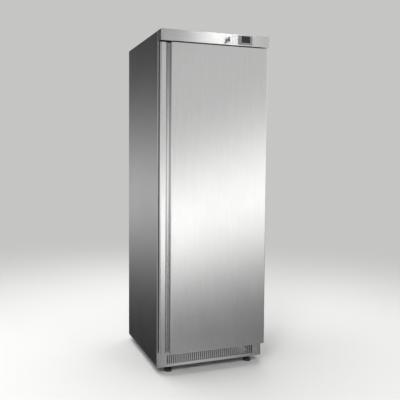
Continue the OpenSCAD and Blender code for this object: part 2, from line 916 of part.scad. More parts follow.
module button(i) {
    b = BUTTONS[i];
    color(grey_colour) in_place()
        translate([controller_x + b[0] * button_side_x, 0, controller_z + b[1] * button_rise])
            block([-button_w / 2, -bezel_t - button_proud, -button_h / 2],
                  [button_w / 2, button_depth - bezel_t - button_proud, button_h / 2]);
}

module button_1() { button(0); }

module button_2() { button(1); }

module button_3() { button(2); }

module button_4() { button(3); }

module lock_housing() {
    color(grey_colour) in_place() difference() {
        union() {
            rod_y(-lock_flange_t, 0, lock_x, lock_z, lock_flange_r);
            rod_y(-lock_flange_t / 2, lock_body_d, lock_x, lock_z, lock_body_r);
        }
        rod_y(-lock_flange_t - cut, lock_body_d + cut, lock_x, lock_z, barrel_r + run_gap);
    }
}

module lock_barrel() {
    keyway = key_t / 2 + 0.2;
    front = -lock_flange_t - barrel_proud;
    color(zinc_colour) in_place() difference() {
        rod_y(front, cam_y, lock_x, lock_z, barrel_r);
        block([lock_x - keyway, front - cut, lock_z - key_blade_w / 2 - 0.2],
              [lock_x + keyway, lock_body_d - 7, lock_z + key_blade_w / 2 + 0.2]);
    }
}

module lock_cam() {
    color(zinc_colour) in_place() union() {
        rod_y(cam_y, cam_y + cam_t, lock_x, lock_z, 8.5);
        block([lock_x, cam_y, lock_z - cam_w / 2], [lock_x + cam_len, cam_y + cam_t, lock_z + cam_w / 2]);
        rod_y(cam_y + cam_t / 2, cam_y + cam_t + 3, lock_x, lock_z, 5, 6);
    }
}

// Key in the lock, upright when the lock is open
module door_key() {
    bow_y = key_bow_r - key_out;
    color(zinc_colour) in_place() difference() {
        union() {
            rod_x(lock_x - key_t / 2, lock_x + key_t / 2, bow_y, lock_z, key_bow_r);
            block([lock_x - key_t / 2, bow_y, lock_z - key_blade_w / 2],
                  [lock_x + key_t / 2, lock_body_d - 8, lock_z + key_blade_w / 2]);
        }
        rod_x(lock_x - key_t, lock_x + key_t, bow_y - key_bow_r / 2 + 1, lock_z, key_hole_r);
    }
}

// Wire shelf: a bent frame rod with grid wires welded across it
module shelf(i) {
    z = shelf_z(i) + seat_gap + rod_r;
    c = shelf_corner_r;
    x1 = shelf_half_w - rod_r;
    y0 = shelf_y0 + rod_r;
    y1 = shelf_y1 - rod_r;
    wire_z = z + rod_r + wire_r - weld_sink;
    wire_pitch = 2 * (x1 - c - 6) / (wire_count - 1);
    cross_z = wire_z - wire_r - cross_rod_r + weld_sink;
    color(zinc_colour) in_place() union() {
        both_sides() {
            rod_y(y0 + c, y1 - c, x1, z, rod_r, 24);
            for (end = [[y0 + c, -90], [y1 - c, 0]])
                translate([x1 - c, end[0], z]) rotate([0, 0, end[1]])
                    rotate_extrude(angle = 90, $fn = 24) translate([c, 0]) circle(r = rod_r, $fn = 24);
        }
        for (y = [y0, y1]) rod_x(c - x1, x1 - c, y, z, rod_r, 24);
        for (k = [0 : wire_count - 1])
            rod_y(y0 - 2, y1 + 2, (k - (wire_count - 1) / 2) * wire_pitch, wire_z, wire_r, 8);
        for (s = [1 / 3, 2 / 3]) rod_x(-x1, x1, y0 + s * (y1 - y0), cross_z, cross_rod_r, 8);
    }
}

module shelf_1() { shelf(1); }

module shelf_2() { shelf(2); }

module shelf_3() { shelf(3); }

module shelf_4() { shelf(4); }

// Axial fan about the Y axis: a bored hub with tilted blades cut to a circle
module fan_rotor(r, hub_r, depth, blades, pitch) {
    blade_half_w = 0.475 * r;
    blade_half_t = 0.9;
    difference() {
        intersection() {
            rod_y(0, depth, 0, 0, r);
            union() {
                rod_y(0, depth, 0, 0, hub_r);
                for (k = [0 : blades - 1]) rotate([0, k * 360 / blades, 0])
                    translate([0, depth / 2, 0]) rotate([0, 0, pitch])
                        block([-blade_half_w, -blade_half_t, hub_r * 0.6],
                              [blade_half_w, blade_half_t, r + 5]);
            }
        }
        rod_y(-cut, depth + cut, 0, 0, fan_shaft_r + run_gap);
    }
}

// Fan motor: its shaft reaches into the rotor's hub, and a strap on two legs carries its back
module fan_motor(seat_y, fan_y, fan_d, motor_r, motor_d, leg_x, strap_w) {
    motor_y = fan_y + fan_d + motor_gap;
    strap_y = motor_y + motor_d;
    t = motor_strap_t;
    union() {
        rod_y(motor_y, strap_y, 0, 0, motor_r);
        rod_y(fan_y + fan_d / 6, motor_y + cut, 0, 0, fan_shaft_r);
        block([-leg_x, strap_y, -strap_w / 2], [leg_x, strap_y + t, strap_w / 2]);
        both_sides() block([leg_x - t, seat_y, -strap_w / 2], [leg_x, strap_y + t / 2, strap_w / 2]);
    }
}

// Fins of a coil: plates across X
module fins(x0, x1, pitch, y0, y1, z0, z1) {
    for (x = [x0 : pitch : x1]) block([x, y0, z0], [x + fin_t, y1, z1]);
}

// Half-round tube bend at the end of a coil, turned out to the given side
module return_bend(x, y, z, side, rise) {
    translate([x, y, z]) rotate([90, 0, 0]) rotate([0, 0, side > 0 ? -90 : 90])
        rotate_extrude(angle = 180, $fn = 24) translate([rise / 2, 0])
            circle(r = coil_tube_r, $fn = 24);
}

module evaporator_coil() {
    z0 = cold_z0 + cold_cover_t + seat_gap;
    z1 = cold_z1 - 12;
    rows = [for (k = [0 : coil_rows - 1]) cold_mid_z + (k - (coil_rows - 1) / 2) * coil_row_pitch];
    color(zinc_colour) in_place() union() {
        for (x0 = [coil_x0, -coil_x1 - fin_t])
            fins(x0, x0 + coil_x1 - coil_x0, coil_fin_pitch, coil_front_y, liner_back_y - 3, z0, z1);
        for (z = rows) rod_x(-coil_x1 - 2, coil_x1 + 2, coil_tube_y, z, coil_tube_r, 24);
        for (k = [0 : coil_rows - 2]) {
            side = k % 2 == 0 ? 1 : -1;
            return_bend(side * (coil_x1 + 2), coil_tube_y, rows[k] + coil_row_pitch / 2, side,
                        coil_row_pitch);
        }
    }
}

module evaporator_cover() {
    t = cold_cover_t;
    half_x = cold_cover_w / 2;
    intake_x = half_x - 2 * intake_pitch;
    color(liner_colour) in_place() difference() {
        block([-half_x, cold_y, cold_z0], [half_x, liner_back_y, cold_z1]);
        block([-half_x + t, cold_y + t, cold_z0 + t], [half_x - t, liner_back_y + cut, cold_z1 - t]);
        rod_y(cold_y - cut, cold_y + t + cut, 0, cold_mid_z, cold_fan_r + 4);
        for (x = [-intake_x : intake_pitch : intake_x])
            block([x - intake_w / 2, cold_y + 10, cold_z0 - cut],
                  [x + intake_w / 2, coil_front_y - cut, cold_z0 + t + cut]);
    }
}

module evaporator_fan() {
    color(black_colour) in_place() translate([0, cold_fan_y, cold_mid_z])
        fan_rotor(cold_fan_r, cold_hub_r, cold_fan_d, 5, 26);
}

module evaporator_fan_motor() {
    color(grey_colour) in_place() translate([0, 0, cold_mid_z])
        fan_motor(cold_y + cold_cover_t, cold_fan_y, cold_fan_d, cold_motor_r, cold_motor_d,
                  cold_fan_r + 8, 12);
}

// Guard in front of the evaporator fan: rings joined by spokes
module fan_guard() {
    ring_y = cold_y - seat_gap - guard_wire_r;
    rings = [guard_ring_pitch, 2 * guard_ring_pitch, 3 * guard_ring_pitch, cold_fan_r + 7];
    color(zinc_colour) in_place() translate([0, ring_y, cold_mid_z]) union() {
        for (r = rings) rotate([90, 0, 0]) rotate_extrude($fn = 48)
            translate([r, 0]) circle(r = guard_wire_r, $fn = 8);
        for (a = [45 : 90 : 315]) rotate([0, a, 0])
            rod_z(rings[0] - guard_wire_r, rings[3], 0, 0, guard_wire_r * 0.8, 8);
    }
}

module lamp_housing() {
    color(grey_colour) in_place()
        block([-lamp_w / 2, lamp_y, throat_z1 - lamp_h], [lamp_w / 2, lamp_y + lamp_d, throat_z1]);
}

module lamp_lens() {
    m = lens_margin;
    color("white") in_place()
        block([-lamp_w / 2 + m, lamp_y + m, throat_z1 - lamp_h - lens_t],
              [lamp_w / 2 - m, lamp_y + lamp_d - m, throat_z1 - lamp_h]);
}

// Hermetic compressor: a welded two-part shell on a mounting plate with pipe stubs
module compressor() {
    r = compressor_r;
    shell_z = compressor_z + compressor_plate_t;
    seam = compressor_h * 0.55;
    seam_w = 4;
    base_r = 14;
    dome = 34;
    plate_x = compressor_plate_x;
    plate_y = compressor_plate_y;
    inset = compressor_bolt_inset;
    color(black_colour) in_place() translate([compressor_x, compressor_y, 0]) difference() {
        union() {
            translate([0, 0, shell_z]) rotate_extrude($fn = 64) polygon(concat(
                [[0, 0], [r - base_r, 0]], arc(r - base_r, base_r, base_r, 270, 360, 6),
                [[r, seam - seam_w], [r + 2, seam - seam_w], [r + 2, seam + seam_w],
                 [r - 2, seam + seam_w]],
                arc(r - 2 - dome, compressor_h - dome, dome, 0, 90), [[0, compressor_h]]
            ));
            block([-plate_x, -plate_y, compressor_z], [plate_x, plate_y, shell_z]);
            for (y = [-pipe_stub_y, pipe_stub_y])
                rod_x(pipe_stub_x - compressor_x, -20, y, pipe_z, pipe_r + 2, 24);
        }
        for (x = [inset - plate_x, plate_x - inset], y = [inset - plate_y, plate_y - inset])
            rod_z(compressor_z - cut, shell_z + cut, x, y, compressor_bolt_r);
    }
}

module compressor_grommets() {
    x1 = compressor_plate_x - compressor_bolt_inset;
    y1 = compressor_plate_y - compressor_bolt_inset;
    color(black_colour) in_place() translate([compressor_x, compressor_y, 0])
        for (x = [-x1, x1], y = [-y1, y1]) rod_z(platform_z, compressor_z, x, y, grommet_r);
}

// Cover over the compressor's terminals, hollowed to the shell that it hangs on
module terminal_cover() {
    color(black_colour) in_place() difference() {
        block([compressor_x - compressor_r - terminal_d, compressor_y - terminal_w / 2, terminal_z],
              [compressor_x - compressor_r + 8, compressor_y + terminal_w / 2,
               terminal_z + terminal_h]);
        rod_z(terminal_z - cut, terminal_z + terminal_h + cut, compressor_x, compressor_y,
              compressor_r + seat_gap);
    }
}

module condenser() {
    x0 = condenser_x - condenser_w / 2;
    x1 = condenser_x + condenser_w / 2;
    y1 = condenser_y + condenser_d;
    tube_y = condenser_y + condenser_d / 2;
    rise = condenser_row_pitch;
    mid = (condenser_rows - 1) / 2;
    color(black_colour) in_place() union() {
        fins(x0 + 6, x1 - 6, fin_pitch, condenser_y + 2, y1 - 2, condenser_z,
             condenser_z + condenser_h);
        for (x = [x0, x1 - end_plate_t])
            block([x, condenser_y, platform_z], [x + end_plate_t, y1, condenser_z + condenser_h + 5]);
        for (k = [0 : condenser_rows - 1])
            rod_x(x0 - 2, x1 + 2, tube_y, warm_z + (k - mid) * rise, coil_tube_r, 24);
        for (k = [0 : condenser_rows - 2]) {
            side = k % 2 == 0 ? -1 : 1;
            return_bend(side > 0 ? x1 + 2 : x0 - 2, tube_y, warm_z + (k + 0.5 - mid) * rise, side,
                        rise);
        }
    }
}

module condenser_shroud() {
    t = skin_t;
    x0 = condenser_x - condenser_w / 2 - shroud_margin;
    x1 = condenser_x + condenser_w / 2 + shroud_margin;
    z1 = condenser_z + condenser_h + 6;
    color(zinc_colour) in_place() difference() {
        block([x0, shroud_y, platform_z], [x1, shroud_y + shroud_d, z1]);
        block([x0 + t, shroud_y - cut, platform_z + t], [x1 - t, shroud_y + shroud_d - t, z1 - t]);
        rod_y(shroud_y, shroud_y + shroud_d + cut, condenser_x, warm_z, warm_fan_r + 4);
    }
}

module condenser_fan() {
    color(black_colour) in_place() translate([condenser_x, warm_fan_y, warm_z])
        fan_rotor(warm_fan_r, warm_hub_r, warm_fan_d, 5, 28);
}

module condenser_fan_motor() {
    color(grey_colour) in_place() translate([condenser_x, 0, warm_z])
        fan_motor(shroud_y + shroud_d, warm_fan_y, warm_fan_d, warm_motor_r, warm_motor_d,
                  warm_fan_r + 10, 16);
}

// Tray on the compressor that evaporates the defrost water
module drip_tray() {
    half_x = tray_w / 2;
    half_y = tray_d / 2;
    t = tray_t;
    color(grey_colour) in_place()
        translate([compressor_x, compressor_y, compressor_top_z + seat_gap]) difference() {
            block([-half_x, -half_y, 0], [half_x, half_y, tray_h]);
            block([-half_x + t, -half_y + t, t], [half_x - t, half_y - t, tray_h + cut]);
        }
}

// Electrical box on the right side panel, with a lid that stands over its edges
module electrical_box() {
    x0 = inner_x - electrical_w;
    y0 = bay_y + 12;
    y1 = y0 + electrical_d;
    z0 = platform_z + 60;
    z1 = z0 + electrical_h;
    lid_t = 9;
    rim = 2;
    color(grey_colour) in_place() union() {
        block([x0, y0, z0], [x0 + lid_t, y1, z1]);
        block([x0 + lid_t, y0 + rim, z0 + rim], [inner_x, y1 - rim, z1 - rim]);
    }
}

// Sheet over the back of the machine bay, with rows of air slots
module rear_cover() {
    t = skin_t;
    vent_w = 130;
    vent_h = 6;
    vent_x = 165;
    vent_pitch = 20;
    vent_rows = 10;
    color(zinc_colour) in_place() difference() {
        block([-inner_x, rear_cover_y, platform_z], [inner_x, rear_cover_y + t, bay_h]);
        for (k = [0 : vent_rows - 1], x = [-vent_x, 0, vent_x])
            translate([x, rear_cover_y, bay_h - 2 * vent_pitch - k * vent_pitch])
                block([-vent_w / 2, -cut, -vent_h / 2], [vent_w / 2, t + cut, vent_h / 2]);
        rod_y(rear_cover_y - cut, rear_cover_y + t + cut, gland_x, gland_z, gland_r + fit_gap);
    }
}

// Gland where the supply lead enters
module mains_gland() {
    back = rear_cover_y + gland_proud;
    color(black_colour) in_place() difference() {
        union() {
            rod_y(rear_cover_y - gland_behind, back - 2, gland_x, gland_z, gland_r);
            rod_y(rear_cover_y + skin_t, back, gland_x, gland_z, gland_flange_r);
        }
        rod_y(rear_cover_y - gland_behind - cut, back + cut, gland_x, gland_z, gland_bore_r);
    }
}

// Quarter bend from the direction of +X to that of +Y, about its own centre
module pipe_bend(r) {
    rotate_extrude(angle = 90, $fn = 24) translate([pipe_bend_r, 0]) circle(r = r, $fn = 24);
}

// Discharge pipe to the condenser and suction pipe up into the insulation
module refrigerant_pipes() {
    b = pipe_bend_r;
    end_x = condenser_x + condenser_w / 2 + seat_gap;
    end_y = condenser_y + condenser_d / 2 + 12;
    hot_x = end_x + 1.75 * b;
    hot_y = compressor_y + pipe_stub_y;
    cold_x = pipe_stub_x - 1.5 * b;
    cold_pipe_y = compressor_y - pipe_stub_y;
    color(copper_colour) in_place() {
        union() {
            rod_x(hot_x + b, pipe_stub_x, hot_y, pipe_z, pipe_r, 24);
            translate([hot_x + b, hot_y - b, pipe_z]) rotate([0, 0, 90]) pipe_bend(pipe_r);
            rod_y(end_y + b, hot_y - b, hot_x, pipe_z, pipe_r, 24);
            translate([hot_x - b, end_y + b, pipe_z]) rotate([0, 0, -90]) pipe_bend(pipe_r);
            rod_x(end_x, hot_x - b, end_y, pipe_z, pipe_r, 24);
        }
        union() {
            rod_x(cold_x + b, pipe_stub_x, cold_pipe_y, pipe_z, pipe_r, 24);
            translate([cold_x + b, cold_pipe_y, pipe_z + b]) rotate([90, 0, 0])
                rotate([0, 0, 180]) pipe_bend(pipe_r);
            rod_z(pipe_z + b, bay_h, cold_x, cold_pipe_y, pipe_r, 24);
        }
    }
}

left_side_panel();
right_side_panel();
top_panel();
back_panel();
front_frame();
bay_lining();
base_frame();
cabinet_foam();
inner_liner();
fascia();
controller_housing();
controller_bezel();
display_window();
button_1();
button_2();
button_3();
button_4();
lock_housing();
lock_barrel();
lock_cam();
door_key();
top_hinge_bracket();
bottom_hinge_bracket();
hinge_pins();
kick_grille();
kick_screws();
foot_front_left();
foot_front_right();
foot_rear_left();
foot_rear_right();
door_outer_panel();
door_top_cap();
door_bottom_cap();
door_foam();
door_liner();
door_gasket();
hinge_bushes();
shelf_1();
shelf_2();
shelf_3();
shelf_4();
evaporator_cover();
evaporator_coil();
evaporator_fan();
evaporator_fan_motor();
fan_guard();
lamp_housing();
lamp_lens();
compressor();
compressor_grommets();
terminal_cover();
condenser();
condenser_shroud();
condenser_fan();
condenser_fan_motor();
drip_tray();
electrical_box();
rear_cover();
mains_gland();
refrigerant_pipes();
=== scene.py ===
"""Looks of the commercial upright refrigerator: camera, studio, materials and small fittings."""
import math

import bpy
from mathutils import Matrix, Vector


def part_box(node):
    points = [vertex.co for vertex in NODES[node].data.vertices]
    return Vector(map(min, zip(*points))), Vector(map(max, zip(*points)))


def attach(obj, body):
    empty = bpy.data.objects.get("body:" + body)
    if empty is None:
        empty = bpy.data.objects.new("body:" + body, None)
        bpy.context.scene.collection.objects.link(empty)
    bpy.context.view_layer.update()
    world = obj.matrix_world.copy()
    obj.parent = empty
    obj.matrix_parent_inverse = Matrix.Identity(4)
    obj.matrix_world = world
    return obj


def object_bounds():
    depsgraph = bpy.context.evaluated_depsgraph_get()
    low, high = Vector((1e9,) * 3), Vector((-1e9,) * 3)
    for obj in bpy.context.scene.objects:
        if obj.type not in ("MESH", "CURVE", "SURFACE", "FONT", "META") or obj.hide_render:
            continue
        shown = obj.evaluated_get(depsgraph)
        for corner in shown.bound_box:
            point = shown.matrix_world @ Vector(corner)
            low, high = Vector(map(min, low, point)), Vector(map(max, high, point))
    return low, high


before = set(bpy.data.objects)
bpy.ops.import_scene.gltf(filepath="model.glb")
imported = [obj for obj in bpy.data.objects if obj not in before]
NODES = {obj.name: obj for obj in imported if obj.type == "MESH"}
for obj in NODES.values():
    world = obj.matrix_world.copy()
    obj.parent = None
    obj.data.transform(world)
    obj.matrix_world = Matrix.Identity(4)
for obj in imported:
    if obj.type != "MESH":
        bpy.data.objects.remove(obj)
CAD_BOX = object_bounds()
BASE_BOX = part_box("base_frame")

# Camera, fitted on the corners of the cabinet, fascia, door and kick plate
CAMERA_AT = (-1.1249, -2.6709, 1.1155)
YAW, PITCH, ROLL = (math.radians(a) for a in (18.03, -2.70, 0.14))
SENSOR = 36.0
FOCAL_PX = 513.1
IMAGE_PX = 400
SHIFT = (0.120, -0.0485)
CLIP_NEAR, CLIP_FAR = 0.05, 200.0

# Floor, whose edge curves up into the backdrop
FLOOR_COLOUR = (0.80, 0.80, 0.79)
BACKDROP_COLOUR = (0.56, 0.56, 0.553)
# Distances between which the floor, lit by the lamps, passes into the backdrop's plain tone
FLOOR_FADE = (1.2, 4.6)
FLOOR_MIDDLE = 0.5
FLOOR_RADIUS = 10.0
BOWL_RISE = 6.0
BOWL_STEPS = 16
BOWL_WALL = 9.0
ROUND_STEPS = 96
# Height of the patch of floor below the object, the only floor that metal mirrors
UNDER_HEIGHT = 0.0001

# Radiance of the studio's walls, as (angle above the horizon in degrees, radiance), at most
# TOP_RADIANCE. A window is the heading of its middle, counted from +Y towards +X, and how far
# to either side of it the radiance holds in full and has faded out, all in degrees.
TOP_RADIANCE = 3.0
# Outside all windows
WALL = 0.66
BASE_STOPS = ((-40, 0.4), (-20, 0.42), (-12, 0.55), (-5, 0.8), (0, 0.74), (6, WALL), (30, WALL))
# In front, mirrored by the door; here the angle is above a slightly tilted band
BAND_NORMAL = Vector((-0.2495, -0.2306, 1.0)).normalized()
BAND_STOPS = ((-60, 0.4), (-42, 0.2), (-32, 0.05), (-22, 0.07), (-15, 0.15), (-11.5, 0.22),
              (-9, 0.38), (-6.5, 0.72), (-4.5, 1.12), (-2.5, 1.5), (-0.3, 1.72), (2, 1.52),
              (5, 1.15), (7, 0.87), (9, 0.68), (11, 0.64), (15, 0.68), (19, 0.79), (22, 0.3),
              (26, 0.08), (60, 0.06))
BAND_WINDOW = (155, 40, 75)
# Behind on the left, mirrored by the left side
SIDE_STOPS = ((-60, 0.5), (-42, 0.4), (-32, 0.0), (-19, 0.0), (-16, 0.045), (-13, 0.18),
              (-10, 0.41), (-7, 0.7), (-5, 0.79), (-3, 0.76), (-1, 0.65), (1, 0.48), (3, 0.34),
              (5.6, 0.2), (8.6, 0.09), (12, 0.02), (22, 0.02), (32, 0.4), (44, WALL))
SIDE_WINDOW = (-17, 17, 33)
# All along the left
LEFT_STOPS = ((-40, 0.35), (-20, 0.52), (-14, 0.58), (-9, 0.75), (-5.5, 0.95), (-2, 0.95),
              (3, 0.72), (9, 0.5), (16, 0.42), (30, 0.5))
LEFT_WINDOW = (255, 40, 60)
# In front on the left, for the finger groove, which sends light back where it came from
GROOVE_STOPS = ((-60, 0.4), (-40, 0.3), (-27, 0.06), (-14, 0.04), (-12, 0.08), (-10.5, 0.3),
                (-8, 0.95), (-5.5, 1.55), (-3.5, 1.6), (-1, 1.4), (1.5, 1.0), (4, 0.55),
                (8, 0.22), (12, 0.16), (20, 0.2), (32, 0.5))
GROOVE_WINDOW = (205, 15, 27)
# Low in front, mirrored by the middle of the kick plate; it fades in between two angles
KICK_STOPS = ((-60, 3.0), (-44, 3.0), (-36, 0.9), (-24, 0.75), (-20, 0.65))
KICK_WINDOW = (155.5, 3.6, 5.6)
KICK_FADE = (-20.5, -22.5)
# Least level part of a direction, so that straight up and down don't divide by zero
LEAST_LEVEL = 0.0001


def make_camera():
    forward = Vector((math.sin(YAW) * math.cos(PITCH), math.cos(YAW) * math.cos(PITCH),
                      math.sin(PITCH)))
    right = Vector((math.cos(YAW), -math.sin(YAW), 0.0))
    up = right.cross(forward)
    x = right * math.cos(ROLL) + up * math.sin(ROLL)
    y = up * math.cos(ROLL) - right * math.sin(ROLL)
    data = bpy.data.cameras.new("camera")
    data.sensor_width = SENSOR
    data.lens = FOCAL_PX / IMAGE_PX * SENSOR
    data.shift_x, data.shift_y = SHIFT
    data.clip_start, data.clip_end = CLIP_NEAR, CLIP_FAR
    camera = bpy.data.objects.new("camera", data)
    turn = Matrix((x, y, -forward)).transposed().to_4x4()
    camera.matrix_world = Matrix.Translation(CAMERA_AT) @ turn
    bpy.context.collection.objects.link(camera)
    bpy.context.scene.camera = camera


class Tree:
    """Short calls for building a node tree."""

    # Numbers of the mix node's sockets where it mixes colours
    MIX_INPUTS = (0, 6, 7)
    MIX_RESULT = 2
    # Values that most of a noise lies between
    NOISE_RANGE = (0.3, 0.7)

    def __init__(self, tree):
        self.tree = tree
        self.nodes = tree.nodes
        self.nodes.clear()

    def add(self, kind, inputs=None, **settings):
        node = self.nodes.new(kind)
        for name, value in settings.items():
            setattr(node, name, value)
        for name, value in (inputs or {}).items():
            self.put(node.inputs[name], value)
        return node

    def put(self, socket, value):
        if isinstance(value, bpy.types.NodeSocket):
            self.tree.links.new(value, socket)
        else:
            socket.default_value = value

    def math(self, operation, *values):
        node = self.add("ShaderNodeMath", operation=operation)
        for socket, value in zip(node.inputs, values):
            self.put(socket, value)
        return node.outputs[0]

    def ramp(self, value, stops):
        """Grey ramp through (place, grey) stops."""
        node = self.add("ShaderNodeValToRGB", {0: value})
        elements = node.color_ramp.elements
        elements.remove(elements[1])
        for i, (place, grey) in enumerate(stops):
            element = elements.new(place) if i else elements[0]
            element.color = (grey, grey, grey, 1.0)
        return node.outputs[0]

    def span(self, value, low, high, to_low=0.0, to_high=1.0, smooth=False):
        """Maps low to high onto to_low to to_high, and holds the ends beyond them."""
        node = self.add("ShaderNodeMapRange", {
            "Value": value, "From Min": low, "From Max": high, "To Min": to_low,
            "To Max": to_high}, interpolation_type="SMOOTHSTEP" if smooth else "LINEAR")
        return node.outputs[0]

    def spread(self, noise, to_low, to_high):
        """Maps a noise onto to_low to to_high."""
        return self.span(noise, *self.NOISE_RANGE, to_low, to_high)

    def mix(self, factor, first, second):
        node = self.add("ShaderNodeMix", data_type="RGBA")
        for number, value in zip(self.MIX_INPUTS, (factor, first, second)):
            self.put(node.inputs[number], value)
        return node.outputs[self.MIX_RESULT]

    def place(self):
        return self.add("ShaderNodeTexCoord").outputs["Object"]

    def noise(self, place, scale, detail, roughness=0.5, distortion=0.0):
        return self.add("ShaderNodeTexNoise", {
            "Vector": place, "Scale": scale, "Detail": detail, "Roughness": roughness,
            "Distortion": distortion})

    def scaled(self, colour, shade):
        """The colour times a shade."""
        inputs = {0: colour, "Scale": shade}
        return self.add("ShaderNodeVectorMath", inputs, operation="SCALE").outputs[0]

    def finish(self, shader):
        output = self.add("ShaderNodeOutputMaterial")
        self.put(output.inputs["Surface"], shader.outputs[0])


def make_world():
    world = bpy.data.worlds.new("studio")
    world.use_nodes = True
    bpy.context.scene.world = world
    bpy.context.scene.view_settings.view_transform = "Standard"
    t = Tree(world.node_tree)
    direction = t.add("ShaderNodeTexCoord").outputs["Generated"]
    x, y, z = t.add("ShaderNodeSeparateXYZ", {0: direction}).outputs
    squares = t.math("ADD", t.math("MULTIPLY", x, x), t.math("MULTIPLY", y, y))
    level = t.math("MAXIMUM", t.math("SQRT", squares), LEAST_LEVEL)

    def angle(sine):
        return t.math("DEGREES", t.math("ARCSINE", sine))

    def by_angle(degrees, stops):
        low, high = stops[0][0], stops[-1][0]
        place = t.span(degrees, low, high)
        return t.ramp(place, [((a - low) / (high - low), v / TOP_RADIANCE) for a, v in stops])

    def window(heading, near, far):
        """1 within near degrees of a heading and 0 beyond far."""
        a = math.radians(heading)
        along = t.math("ADD", t.math("MULTIPLY", x, math.sin(a)),
                       t.math("MULTIPLY", y, math.cos(a)))
        return t.span(t.math("DIVIDE", along, level), math.cos(math.radians(far)),
                      math.cos(math.radians(near)), smooth=True)

    band_sine = t.add("ShaderNodeVectorMath", {0: direction, 1: tuple(BAND_NORMAL)},
                      operation="DOT_PRODUCT").outputs["Value"]
    above = angle(z)
    kick = t.math("MULTIPLY", window(*KICK_WINDOW), t.span(above, *KICK_FADE))
    parts = ((angle(band_sine), BAND_STOPS, window(*BAND_WINDOW)),
             (above, SIDE_STOPS, window(*SIDE_WINDOW)),
             (above, LEFT_STOPS, window(*LEFT_WINDOW)),
             (above, GROOVE_STOPS, window(*GROOVE_WINDOW)),
             (above, KICK_STOPS, kick))
    colour = by_angle(above, BASE_STOPS)
    for degrees, stops, weight in parts:
        colour = t.mix(weight, colour, by_angle(degrees, stops))
    background = t.add("ShaderNodeBackground", {"Color": colour, "Strength": TOP_RADIANCE})
    output = t.add("ShaderNodeOutputWorld")
    t.put(output.inputs["Surface"], background.outputs[0])


def new_material(name):
    material = bpy.data.materials.new(name)
    material.use_nodes = True
    return material, Tree(material.node_tree)


def mesh_object(name, vertices, faces, material):
    mesh = bpy.data.meshes.new(name)
    mesh.from_pydata(vertices, [], faces)
    mesh.update()
    mesh.materials.append(material)
    piece = bpy.data.objects.new(name, mesh)
    bpy.context.collection.objects.link(piece)
    return piece


def revolved(name, profile, material, closed=False):
    """Surface swept round the vertical axis from (radius, height) points."""
    points, faces = [], [tuple(range(ROUND_STEPS))] if closed else []
    for radius, height in profile:
        for i in range(ROUND_STEPS):
            a = 2 * math.pi * i / ROUND_STEPS
            points.append((radius * math.cos(a), radius * math.sin(a), height))
    for row in range(len(profile) - 1):
        for i in range(ROUND_STEPS):
            k = (i + 1) % ROUND_STEPS
            low, high = row * ROUND_STEPS, (row + 1) * ROUND_STEPS
            faces.append((high + i, high + k, low + k, low + i))
    piece = mesh_object(name, points, faces, material)
    for polygon in piece.data.polygons:
        polygon.use_smooth = True
    return piece


def floor_material():
    """Lit by the lamps near the middle and of the backdrop's plain tone far out."""
    material, t = new_material("floor")
    lit = t.add("ShaderNodeBsdfDiffuse", {"Color": (*FLOOR_COLOUR, 1.0)})
    plain = t.add("ShaderNodeEmission", {"Color": (*BACKDROP_COLOUR, 1.0), "Strength": 1.0})
    reach = t.add("ShaderNodeVectorMath", {0: t.place()}, operation="LENGTH").outputs["Value"]
    t.finish(t.add("ShaderNodeMixShader", {
        0: t.span(reach, *FLOOR_FADE, smooth=True), 1: lit.outputs[0], 2: plain.outputs[0]}))
    return material


def make_floor():
    """Round floor whose edge curves up into a pale wall, so that no horizon shows."""
    wall = []
    for i in range(BOWL_STEPS + 1):
        a = 0.5 * math.pi * i / BOWL_STEPS
        wall.append((FLOOR_RADIUS + BOWL_RISE * math.sin(a), BOWL_RISE * (1 - math.cos(a))))
    wall.append((FLOOR_RADIUS + BOWL_RISE, BOWL_WALL))
    material = floor_material()
    floor = revolved("floor", [(FLOOR_MIDDLE, 0.0), (FLOOR_RADIUS, 0.0)], material, closed=True)
    bowl = revolved("backdrop", wall, material)
    x0, y0 = CAD_BOX[0][0], BASE_BOX[0][1]
    x1, y1 = CAD_BOX[1][0], CAD_BOX[1][1]
    corners = [(x, y, UNDER_HEIGHT) for x, y in ((x0, y0), (x1, y0), (x1, y1), (x0, y1))]
    under = mesh_object("floor_under", corners, [(0, 1, 2, 3)], material)
    for piece in (floor, bowl, under):
        piece.visible_glossy = piece is under
    bowl.visible_diffuse = False
    bowl.visible_shadow = False


def area_light(name, at, aim, size, power, mirrored=False):
    data = bpy.data.lights.new(name, "AREA")
    data.shape = "DISK"
    data.size = size
    data.energy = power
    light = bpy.data.objects.new(name, data)
    light.location = at
    light.rotation_euler = (Vector(aim) - Vector(at)).to_track_quat("-Z", "Y").to_euler()
    light.visible_camera = False
    light.visible_glossy = mirrored
    bpy.context.collection.objects.link(light)


def make_lights():
    area_light("key_light", at=(1.7, -3.2, 3.9), aim=(0.05, -0.27, 1.2), size=0.5, power=18.0,
               mirrored=True)
    area_light("top_light", at=(-0.3, 0.3, 4.4), aim=(0.0, 0.0, 0.8), size=2.8, power=130.0)
    area_light("fill_light", at=(-2.6, -3.3, 4.0), aim=(0.0, 0.0, 0.9), size=1.6, power=80.0)


STEEL_COLOUR = (0.70, 0.70, 0.695)
# Strokes of the polishing belt, a metre: across the grain and along it
FINE_STROKES = (700.0, 9.0)
BROAD_STROKES = (90.0, 1.5)
STROKE_NOISE = {"scale": 1.0, "detail": 5.0, "roughness": 0.75, "distortion": 1.5}
# Turn of that noise about the grain, in radians, so that its lattice lies askew to the sheet
STROKE_TURN = 0.6
# What the strokes multiply the colour by, and how far they and slow patches move the roughness
FINE_TONES, BROAD_TONES = (0.93, 1.06), (0.98, 1.02)
STROKE_SWING = 0.025
PATCH_NOISE = {"scale": 5.0, "detail": 5.0, "roughness": 0.6}
PATCH_RANGE, PATCH_SWING = (0.35, 0.65), (-0.01, 0.015)
STROKE_RELIEF = {"Strength": 0.1, "Distance": 0.00004}
